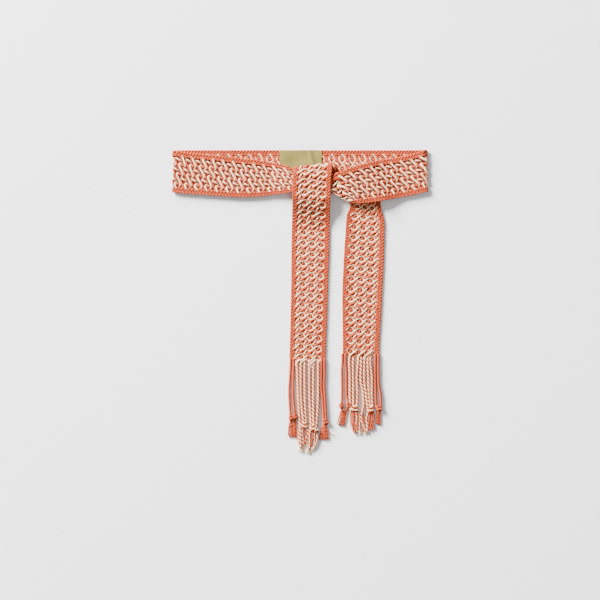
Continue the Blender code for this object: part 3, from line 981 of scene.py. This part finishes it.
@dataclass
class PlaitedBorder:
    """A flat plait of five coral strands round a core, along one edge of the band."""

    path: ClothPath
    spinner: Spinner
    name: str
    node: str
    middle: float
    mirrored: bool
    swing: float = 0.0032
    weave: float = 0.00062
    period: float = 0.0235
    radius: float = 0.00105
    core_radius: float = 0.0010
    core_places: tuple = (-0.0023, 0.0, 0.0023)
    core_step: float = 0.004
    strands: int = 5
    steps: int = 26
    seed: int = 31

    def build(self) -> None:
        """Make and dress the plait."""
        rng = np.random.default_rng(self.seed)
        u = np.arange(0.0, self.path.length, self.period / self.steps)
        side = -1.0 if self.mirrored else 1.0
        runs = []
        for k in range(self.strands):
            turn = 2 * math.pi * (u / self.period + k / self.strands)
            v = self.middle + side * self.swing * np.sin(turn)
            t = self.weave * np.sin((self.strands - 1) * turn)
            runs.append(Run(np.column_stack([v, u, t]), self.radius, float(rng.uniform(0.3, 0.7))))
        core = np.arange(0.0, self.path.length, self.core_step)
        for away in self.core_places:
            line = np.column_stack([np.full(len(core), self.middle + away), core, np.zeros(len(core))])
            # The core gets a low shade, so it shows darker between the plait's strands: painted shade.
            runs.append(Run(line, self.core_radius, 0.2))
        piece = self.spinner.tubes(self.name, {Yarn.BRAID: runs}, 8, self.path)
        dress(piece, "coral_braid", self.node)


@dataclass
class SewnLabel:
    """The satin label on the back strap."""

    width: float = 0.0612
    height: float = 0.0310
    thickness: float = 0.0006
    rise: float = 0.00045
    crease_x: float = 0.0189
    crease_slant: float = 0.25
    crease_height: float = 0.0007
    crease_width: float = 0.0030
    edge_width: float = 0.00018
    splay: float = 0.0009
    ripple: float = 0.0002

    def surface(self, x: float, y: float) -> float:
        """How far the satin stands above its lowest place, with two long waves and a crease."""
        wave = 0.00022 * math.sin(190 * x + 60 * y) + 0.00018 * math.sin(-120 * x + 230 * y + 1.0)
        away = (x - self.crease_x + self.crease_slant * (y - 0.2)) / self.crease_width
        return self.rise + wave + self.crease_height * math.exp(-(away**2))

    def build(self) -> None:
        """Make and dress the label."""
        low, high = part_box("sewn_label")
        bm = bmesh.new()
        bmesh.ops.create_grid(bm, x_segments=72, y_segments=36, size=0.5)
        for corner in bm.verts:
            across, up = corner.co.x + 0.5, corner.co.y + 0.5
            x = low.x + across * (high.x - low.x) + self.splay * (1 - up) * (0.5 - across)
            y = low.y + up * (high.y - low.y) + self.ripple * math.sin(31 * across)
            corner.co = Vector((x, y, low.z + self.surface(x, y)))
        mesh = bpy.data.meshes.new("satin_label")
        bm.to_mesh(mesh)
        bm.free()
        for face in mesh.polygons:
            face.use_smooth = True
        piece = placed("satin_label", mesh)
        mesh.materials.append(SatinFinish().material())
        wall = piece.modifiers.new("wall", "SOLIDIFY")
        wall.thickness = self.thickness
        wall.offset = -1.0
        edge = piece.modifiers.new("edge", "BEVEL")
        edge.width = self.edge_width
        edge.segments = 2
        edge.limit_method = "ANGLE"
        dress(piece, "label_satin", "sewn_label")


# Places and sizes in these and in the fringes' tables are in millimetres. A strand with no yarn is a
# small striped rope, and its radius is its size beside the full ropes.
Wrap = namedtuple("Wrap", "x y half turns tilt")
Brush = namedtuple("Brush", "x y half end_x end_y end_half count")
Strand = namedtuple("Strand", "yarn radius points")
CordPair = namedtuple("CordPair", "cords wraps brushes threads")


@dataclass
class Fringe:
    """One tail's fringe: striped ropes, plain cords, knots and cut ends."""

    spinner: Spinner
    side: str
    ropes: tuple
    wraps: tuple
    strands: tuple
    ends: tuple
    outer: CordPair
    inner: CordPair
    seed: int
    rope_radius: float = 0.00130
    cream_ply: float = 0.00100
    coral_ply: float = 0.00118
    rope_plies: int = 4
    pitch: float = 0.0110
    cord_plies: int = 3
    cord_offset: float = 0.00095
    cord_ply: float = 0.00108
    cord_pitch: float = 0.009
    cord_lift: float = 0.0005
    wrap_radius: float = 0.00105
    wrap_spacing: float = 1.75
    wrap_middle: float = 0.0034
    wrap_rise: float = 0.0022
    wrap_sway: float = 0.0012
    thread_radius: float = 0.00050
    loose_radius: float = 0.00045
    sides: int = 6

    def line(self, points: tuple, step: float = 0.0014) -> np.ndarray:
        """A smooth line through points in millimetres."""
        return smooth_line(np.array(points, float) / 1000, step)

    def twisted(
        self, line: np.ndarray, plies: int, offset: float, radius: float, pitch: float, phase: float
    ) -> list:
        """Plies that wind round a line.

        Args:
            line: the rope's middle.
            plies: how many.
            offset: how far each ply's middle is from the line.
            radius: each ply's radius.
            pitch: the length of one turn.
            phase: the first ply's turn.

        Returns:
            The plies' runs, in order round the rope.
        """
        tangent = unit(np.gradient(line, axis=0))
        side = unit(np.cross(tangent, np.array([0.0, 0.0, 1.0])))
        up = np.cross(side, tangent)
        s = measured(line)
        runs = []
        for k in range(plies):
            turn = phase + 2 * math.pi * (k / plies + s / pitch)
            points = line + offset * (np.cos(turn)[:, None] * side + np.sin(turn)[:, None] * up)
            runs.append(Run(points, radius))
        return runs

    def striped(self, line: np.ndarray, size: float, groups: tuple, rng: np.random.Generator) -> None:
        """Add a rope's plies to the cream and the coral group, in turn round it."""
        cream, coral = groups
        phase = float(rng.uniform(0, 6.28))
        plies = self.twisted(line, self.rope_plies, self.rope_radius * size, 0.0, self.pitch, phase)
        for k, ply in enumerate(plies):
            ply.shade = float(rng.uniform(0.35, 0.7))
            ply.radius = (self.cream_ply if k % 2 else self.coral_ply) * size
            (cream if k % 2 else coral).append(ply)

    def wrapped(self, wrap: Wrap, rng: np.random.Generator) -> list:
        """The turns of a knot, round the strands that run through it."""
        runs = []
        turn = np.linspace(0.0, 2 * math.pi, 25)
        middle = (wrap.turns - 1) / 2
        for k in range(wrap.turns):
            far = abs(k - middle) / max(middle, 1)
            half = wrap.half / 1000 * (1 - 0.22 * far * far)
            x = wrap.x / 1000 + half * np.cos(turn)
            y = wrap.y / 1000 + (k - middle) * self.wrap_spacing * self.wrap_radius
            y = y + wrap.tilt / 1000 * np.cos(turn) + self.wrap_sway * np.sin(2 * turn + 2.1 * k)
            z = self.wrap_middle - 0.0006 * far + self.wrap_rise * np.sin(turn)
            radius = self.wrap_radius * (1 + rng.normal(0.0, 0.06))
            runs.append(Run(np.column_stack([x, y, z]), radius, float(rng.uniform(0.3, 0.75))))
        return runs

    def brushed(self, brush: Brush, rng: np.random.Generator) -> list:
        """Threads that flare out of a knot to their cut ends."""
        runs = []
        for k in range(brush.count):
            f = 2 * k / (brush.count - 1) - 1
            low = 0.7 + 0.9 * float(rng.uniform())
            start = np.array((brush.x + brush.half * f, brush.y, 1.9 + 0.8 * (1 - f * f)))
            end_x = brush.end_x + brush.end_half * f + rng.normal(0.0, 0.4)
            end = np.array((end_x, brush.end_y + rng.normal(0.0, 1.3) + 1.5 * f * f, low))
            share = np.linspace(0.0, 1.0, 9)[:, None]
            bow = np.column_stack([np.sin(3.0 * share[:, 0] * math.pi + k), 0 * share, 0 * share]) * 0.25
            spread = share**0.8
            points = start + (end - start) * np.column_stack([spread, share, share]) + bow * share
            runs.append(Run(points / 1000, self.thread_radius, float(rng.uniform(0.2, 0.8))))
        return runs

    def cords(self, place: str, pair: CordPair, rng: np.random.Generator) -> None:
        """Make and dress the plain cords at one border, with their knots and brush."""
        runs = []
        for cord in pair.cords:
            phase = float(rng.uniform(0, 6.28))
            line = self.line(cord) + np.array((0.0, 0.0, self.cord_lift))
            twist = (self.cord_plies, self.cord_offset, self.cord_ply, self.cord_pitch)
            plies = self.twisted(line, *twist, phase)
            for ply in plies:
                ply.shade = float(rng.uniform(0.3, 0.7))
            runs += plies
        for wrap in pair.wraps:
            runs += self.wrapped(wrap, rng)
        for brush in pair.brushes:
            runs += self.brushed(brush, rng)
        for thread in pair.threads:
            runs.append(Run(self.line(thread, 0.001), self.loose_radius, 0.4))
        piece = self.spinner.tubes(f"{self.side}_fringe_{place}_cords", {Yarn.BRAID: runs}, self.sides)
        dress(piece, "coral_braid", f"fringe_{self.side}_{place}")

    def build(self) -> None:
        """Make and dress the fringe's three pieces."""
        rng = np.random.default_rng(self.seed)
        cream, coral = [], []
        for rope in self.ropes:
            self.striped(self.line(rope), 1.0, (cream, coral), rng)
        for wrap in self.wraps:
            for k, turn in enumerate(self.wrapped(wrap, rng)):
                (cream if k % 2 else coral).append(turn)
        for strand in self.strands:
            line = self.line(strand.points, 0.0011)
            if strand.yarn is None:
                self.striped(line, strand.radius, (cream, coral), rng)
            else:
                run = Run(line, strand.radius / 1000, float(rng.uniform(0.3, 0.75)))
                (cream if strand.yarn is Yarn.CREAM else coral).append(run)
        for brush in self.ends:
            cream += self.brushed(brush, rng)
        groups = {Yarn.CREAM: cream, Yarn.CORAL: coral}
        piece = self.spinner.tubes(f"{self.side}_fringe_ropes", groups, self.sides)
        dress(piece, "striped_cord", f"fringe_{self.side}_ropes")
        self.cords("outer", self.outer, rng)
        self.cords("inner", self.inner, rng)


LEFT_ROPES = (
    (
        (-4.6, -86.5, 1.6), (-4.0, -92, 2.3), (-2.6, -128.6, 2.3),
        (0.0, -176, 2.8), (1.0, -190, 2.4), (1.5, -212, 1.7),
    ),
    ((1.7, -86.5, 1.6), (1.6, -92, 2.3), (1.5, -128.6, 2.3), (5.5, -178, 3.4), (6.0, -184, 3.0)),
    ((7.0, -86.5, 1.6), (7.0, -92, 2.3), (7.3, -128.6, 2.3), (9.0, -178, 2.6), (9.5, -184, 2.6)),
    ((13.9, -86.5, 1.6), (13.9, -92, 2.3), (14.1, -128.6, 2.3), (16.0, -181, 2.6), (15.5, -188, 2.6)),
    ((20.0, -86.5, 1.6), (20.0, -92, 2.3), (19.4, -128.6, 2.3), (20.0, -181, 3.2), (20.0, -188, 2.6)),
    ((26.7, -86.5, 1.6), (26.7, -92, 2.3), (26.8, -128.6, 2.3), (23.6, -183, 2.6), (23.0, -188, 2.6)),
)
LEFT_WRAPS = (
    Wrap(5.6, -179.2, 5.4, 4, -1.0),
    Wrap(18.6, -182.6, 4.8, 4, 0.8),
    Wrap(23.4, -186.6, 2.8, 2, -0.6),
)
LEFT_STRANDS = rows_of(
    Strand,
    (None, 0.72, ((0.9, -182, 2.8), (-1.6, -190, 2.6), (-1.4, -204, 1.9), (1.0, -213, 1.6))),
    (None, 0.66, ((4.2, -183, 3.2), (3.6, -192, 3.0), (5.2, -202, 2.2), (2.6, -213, 1.6))),
    (None, 0.66, ((9.4, -183, 3.0), (11.8, -190, 2.6), (9.2, -198, 2.2), (6.8, -206, 1.7))),
    (Yarn.CORAL, 1.35, ((8.2, -184, 3.0), (9.6, -192, 2.4), (7.8, -200, 2.2), (7.0, -207, 1.7))),
    (None, 0.72, ((15.2, -185, 3.0), (14.0, -195, 2.8), (14.4, -205, 2.2), (12.4, -216, 1.6))),
    (None, 0.60, ((13.2, -185, 2.4), (12.0, -196, 1.9), (10.4, -206, 1.6), (11.6, -215, 1.4))),
    (Yarn.CORAL, 1.35, ((17.9, -187, 3.0), (18.4, -196, 2.4), (16.6, -204, 2.0), (16.2, -210, 1.7))),
    (None, 0.66, ((24.2, -188, 2.8), (25.4, -196, 2.4), (23.4, -206, 2.0), (19.0, -214, 1.6))),
    (None, 0.60, ((21.4, -187, 2.8), (21.0, -196, 2.4), (21.4, -204, 1.9), (18.6, -213, 1.5))),
    (Yarn.CREAM, 1.05, ((3.0, -84.5, 3.0), (-2.6, -86.4, 3.6), (-5.8, -90.5, 3.0), (-4.9, -96, 2.2))),
    (Yarn.CREAM, 1.05, ((9.0, -84.5, 3.0), (4.2, -86.6, 3.6), (0.8, -90.5, 3.2), (1.3, -96, 2.4))),
    (Yarn.CREAM, 1.05, ((23.5, -84.5, 3.0), (19.0, -87.4, 3.6), (15.8, -92.0, 3.2), (16.2, -98, 2.4))),
)
LEFT_ENDS = (
    Brush(1.8, -211, 1.6, 1.4, -218.0, 3.8, 12),
    Brush(12.2, -213, 1.2, 12.0, -220.0, 3.2, 10),
    Brush(18.6, -212, 1.0, 18.8, -217.0, 2.0, 7),
)
LEFT_OUTER = CordPair(
    (
        ((-13.2, -83, 1.5), (-14.6, -110, 1.7), (-15.7, -131.5, 1.7), (-13.6, -171, 2.2)),
        ((-9.2, -83, 1.5), (-9.6, -110, 1.7), (-10.0, -131.5, 1.7), (-7.0, -169, 2.2)),
    ),
    (Wrap(-13.2, -168.6, 2.9, 3, 0.8), Wrap(-7.0, -166.8, 2.9, 3, -0.7)),
    (Brush(-13.0, -171, 1.3, -13.6, -197, 3.6, 9), Brush(-7.4, -169, 1.3, -7.8, -198, 3.2, 9)),
    (),
)
LEFT_INNER = CordPair(
    (
        ((31.4, -83, 1.5), (31.2, -104, 1.7), (30.7, -121, 1.7), (32.6, -141, 1.8), (34.6, -175, 2.2)),
        ((35.4, -83, 1.5), (35.6, -104, 1.7), (34.9, -121, 1.7), (36.2, -141, 1.8), (38.0, -175, 2.4)),
    ),
    (Wrap(36.8, -174.4, 4.1, 3, -0.9),),
    (Brush(35.8, -177.5, 2.2, 34.9, -201, 7.0, 15),),
    (((40.5, -187.2, 1.6), (45.0, -192.6, 1.4), (50.9, -195.6, 0.6)),),
)
RIGHT_ROPES = (
    ((72.0, -80, 1.6), (71.8, -86, 2.3), (72.6, -112, 2.3), (72.4, -134, 2.3), (73.5, -159, 2.6)),
    ((77.2, -80, 1.6), (77.2, -86, 2.3), (77.4, -112, 2.3), (77.6, -134, 2.5), (77.4, -160, 2.8)),
    ((84.4, -80, 1.6), (84.6, -86, 2.3), (82.6, -112, 2.3), (83.4, -134, 2.3), (82.0, -160, 2.6)),
    (
        (88.8, -80, 1.6), (88.8, -86, 2.3), (88.2, -112, 2.3),
        (92.0, -134, 2.3), (92.4, -149, 2.3), (89.5, -165, 1.9),
    ),
    ((93.6, -80, 1.6), (93.8, -86, 2.3), (93.4, -112, 2.3), (96.0, -134, 2.5), (99.0, -160, 2.6)),
    ((98.0, -80, 1.6), (98.4, -86, 2.3), (99.4, -112, 2.3), (100.2, -134, 2.3), (102.6, -160, 2.8)),
    ((102.0, -80, 1.6), (102.2, -86, 2.3), (104.6, -112, 2.3), (104.2, -134, 2.3), (106.0, -160, 2.6)),
)
RIGHT_WRAPS = (
    Wrap(78.0, -155.2, 6.8, 4, -1.0),
    Wrap(102.2, -156.2, 5.4, 4, 0.9),
)
RIGHT_STRANDS = rows_of(
    Strand,
    (None, 0.66, ((73.6, -158, 2.6), (72.6, -168, 2.2), (73.6, -177, 1.8), (75.8, -184, 1.6))),
    (Yarn.CORAL, 1.20, ((75.6, -159, 3.0), (76.4, -172, 2.6), (76.0, -180, 2.2), (77.6, -189, 1.6))),
    (Yarn.CORAL, 1.40, ((78.2, -159, 3.2), (77.4, -172, 2.6), (79.6, -182, 2.2), (79.2, -192, 1.7))),
    (None, 0.66, ((80.2, -159, 2.6), (82.4, -170, 2.2), (81.0, -180, 1.9), (83.2, -189, 1.6))),
    (Yarn.CORAL, 1.15, ((81.8, -159, 2.6), (84.6, -170, 2.0), (84.2, -180, 1.7), (84.8, -187, 1.4))),
    (None, 0.60, ((83.4, -159, 2.4), (87.4, -169, 2.0), (86.4, -180, 1.8), (86.8, -189, 1.5))),
    (None, 0.66, ((89.6, -163, 2.2), (89.8, -173, 2.0), (93.4, -182, 1.9), (94.4, -189, 1.6))),
    (Yarn.CORAL, 1.15, ((91.0, -163, 1.8), (93.2, -173, 1.6), (91.8, -182, 1.6), (90.8, -188, 1.4))),
    (None, 0.72, ((98.8, -160, 2.6), (96.6, -171, 2.2), (97.8, -181, 1.9), (97.2, -190, 1.6))),
    (Yarn.CORAL, 1.30, ((101.0, -160, 2.8), (100.6, -170, 2.4), (99.6, -178, 2.0), (101.2, -187, 1.6))),
    (Yarn.CORAL, 1.25, ((103.4, -160, 2.8), (104.8, -170, 2.4), (103.0, -178, 2.0), (103.8, -187, 1.5))),
    (Yarn.CORAL, 1.25, ((105.4, -160, 2.4), (107.2, -168, 2.2), (106.0, -176, 1.9), (107.0, -185, 1.5))),
    (Yarn.CREAM, 1.05, ((81.2, -72.6, 3.2), (75.6, -75.8, 3.8), (71.8, -80.8, 3.6), (71.2, -87, 2.8))),
    (Yarn.CREAM, 1.05, ((93.4, -72.6, 3.2), (88.4, -75.6, 3.8), (84.8, -80.8, 3.6), (84.0, -87, 2.8))),
    (Yarn.CREAM, 1.05, ((105.0, -71.6, 3.2), (99.0, -75.8, 3.8), (94.0, -80.8, 3.6), (93.2, -87, 2.8))),
)
RIGHT_ENDS = (
    Brush(87.0, -186, 1.2, 87.0, -192.0, 2.0, 7),
    Brush(96.0, -186, 1.8, 96.2, -192.0, 3.4, 11),
)
RIGHT_OUTER = CordPair(
    (
        (
            (61.2, -76, 1.5), (61.4, -88, 1.7), (60.6, -99, 1.7),
            (60.9, -138, 1.7), (60.0, -151, 2.2), (61.2, -160, 2.2),
        ),
        (
            (66.0, -76, 1.5), (65.8, -88, 1.7), (67.0, -99, 1.7),
            (67.6, -136, 1.7), (70.2, -150, 2.2), (66.0, -159, 2.2),
        ),
    ),
    (Wrap(60.0, -150.8, 2.9, 3, 0.7), Wrap(69.8, -150.8, 2.7, 3, -0.8)),
    (Brush(63.4, -158.5, 4.2, 59.6, -179.5, 6.0, 17),),
    (((64.0, -176, 1.2), (65.2, -180, 0.8), (66.0, -182.5, 0.5)),),
)
RIGHT_INNER = CordPair(
    (
        ((109.3, -76, 1.5), (109.0, -99, 1.7), (109.3, -117, 1.7), (110.2, -149, 2.0), (113.0, -157, 2.4)),
        (
            (113.6, -76, 1.5), (113.4, -99, 1.7), (113.8, -117, 1.7),
            (116.4, -134, 1.8), (117.2, -147, 2.0), (116.0, -157, 2.4),
        ),
    ),
    (Wrap(114.6, -154.8, 4.1, 3, -0.9),),
    (Brush(114.2, -157.5, 2.2, 113.6, -179, 3.4, 13),),
    (),
)


@dataclass
class Studio:
    """The floor, the lights and the camera."""

    frame_width: float = 0.870
    centre_y: float = 0.0019
    distance: float = 3.2
    sensor: float = 36.0
    floor_z: float = -0.0004
    room_strength: float = 0.38

    def floor(self) -> None:
        """A plain pale floor."""
        bm = bmesh.new()
        bmesh.ops.create_grid(bm, x_segments=1, y_segments=1, size=4.0)
        bmesh.ops.translate(bm, vec=(0.0, 0.0, self.floor_z), verts=bm.verts[:])
        mesh = bpy.data.meshes.new("pale_floor")
        bm.to_mesh(mesh)
        bm.free()
        mesh.materials.append(FloorFinish().material())
        floor = placed("pale_floor", mesh)

    def lamp(self, name: str, place: tuple, size: float, power: float) -> None:
        """A square soft light that looks at the belt."""
        light = bpy.data.lights.new(name, "AREA")
        light.size = size
        light.energy = power
        lamp = placed(name, light)
        lamp.location = place
        lamp.rotation_euler = (-Vector(place)).to_track_quat("-Z", "Y").to_euler()

    def build(self) -> None:
        """Set up the floor, the lights and the camera."""
        self.floor()
        self.lamp("key_light", (-4.7, 4.3, 2.6), 2.6, 4000.0)
        self.lamp("fill_light", (0.9, -0.6, 1.8), 2.0, 10.0)
        world = bpy.data.worlds.new("soft_room")
        world.use_nodes = True
        background = world.node_tree.nodes["Background"]
        background.inputs["Color"].default_value = (1.0, 1.0, 1.0, 1.0)
        background.inputs["Strength"].default_value = self.room_strength
        bpy.context.scene.world = world
        camera = bpy.data.cameras.new("top_camera")
        camera.sensor_width = self.sensor
        camera.lens = self.sensor * self.distance / self.frame_width
        view = placed("top_camera", camera)
        view.location = (0.0, self.centre_y, self.distance)
        bpy.context.scene.camera = view


def main() -> None:
    """Build and dress the belt in order."""
    logging.basicConfig(level=logging.INFO, format="%(name)s: %(message)s")
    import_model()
    path = ClothPath()
    spinner = Spinner()
    Openwork(path, spinner).build()
    PlaitedBorder(path, spinner, "upper_plait", "braid_upper", 0.0042, False).build()
    PlaitedBorder(path, spinner, "lower_plait", "braid_lower", 0.0560, True).build()
    SewnLabel().build()
    left = (LEFT_ROPES, LEFT_WRAPS, LEFT_STRANDS, LEFT_ENDS, LEFT_OUTER, LEFT_INNER)
    Fringe(spinner, "left", *left, 5).build()
    right = (RIGHT_ROPES, RIGHT_WRAPS, RIGHT_STRANDS, RIGHT_ENDS, RIGHT_OUTER, RIGHT_INNER)
    Fringe(spinner, "right", *right, 6).build()
    Studio().build()


if __name__ == "__main__":
    main()
